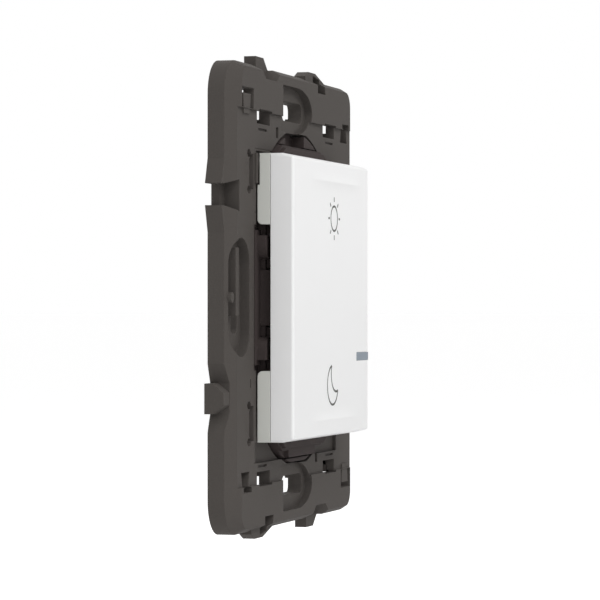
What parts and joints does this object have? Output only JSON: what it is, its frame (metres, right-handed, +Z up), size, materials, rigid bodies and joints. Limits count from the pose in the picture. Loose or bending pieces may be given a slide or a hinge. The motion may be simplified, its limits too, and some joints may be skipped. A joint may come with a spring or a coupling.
{
  "type": "wireless remote wall switch",
  "caption": "Flat wireless wall switch: square rocking key on a battery radio module clipped in a moulded support frame with screw slots, windows and coupling hooks.",
  "frame": {"origin": "middle of the back face that lies on the wall", "axes": "+Z up, front faces -Y, +X to the right seen from the front"},
  "size_m": [0.0742, 0.0098, 0.0754],
  "materials": {
    "frame_plastic": "fine matt moulded surface",
    "module_plastic": "fine matt moulded surface",
    "carrier_plastic": "satin",
    "key_plastic": "satin gloss",
    "lens_plastic": "satin",
    "cell_steel": "bright nickel",
    "contact_metal": "plated",
    "screw_steel": "zinc plated",
    "board_laminate": "solder mask",
    "chip_resin": "moulded resin",
    "led_resin": "clear resin",
    "plunger_plastic": "moulded"
  },
  "bodies": {
    "base": {"support_frame": "frame_plastic", "module_base": "module_plastic", "module_cover": "module_plastic", "coin_cell": "cell_steel", "positive_contact": "contact_metal", "negative_contact": "contact_metal", "circuit_board": "board_laminate", "board_screws": "screw_steel", "radio_chip": "chip_resin", "crystal": "cell_steel", "indicator_led": "led_resin", "board_parts": "chip_resin", "antenna": "contact_metal", "upper_switch_body": "chip_resin", "lower_switch_body": "chip_resin"},
    "rocker": {"rocker_carrier": "carrier_plastic", "rocker_key": "key_plastic", "indicator_lens": "lens_plastic"},
    "upper_plunger": {"upper_switch_plunger": "plunger_plastic"},
    "lower_plunger": {"lower_switch_plunger": "plunger_plastic"},
    "door": {"battery_door": "module_plastic"}
  },
  "joints": [
    {"name": "rocker_tilt", "type": "hinge", "parent": "base", "child": "rocker", "pos_m": [0, -0.0042, 0], "axis": [1, 0, 0], "range_deg": [-1.5, 1.5], "stiffness_Nm_per_rad": 0.8},
    {"name": "upper_press", "type": "slide", "parent": "base", "child": "upper_plunger", "axis": [0, 1, 0], "range_m": [-0.0004, 0.0004]},
    {"name": "lower_press", "type": "slide", "parent": "base", "child": "lower_plunger", "axis": [0, 1, 0], "range_m": [-0.0004, 0.0004]},
    {"name": "door_turn", "type": "hinge", "parent": "base", "child": "door", "pos_m": [0, 0, 0], "axis": [0, 1, 0], "range_deg": [0, 30]}
  ],
  "couplings": [
    {"joint": "upper_press", "follows": "rocker_tilt", "m_per_rad": -0.0136},
    {"joint": "lower_press", "follows": "rocker_tilt", "m_per_rad": 0.0136}
  ]
}
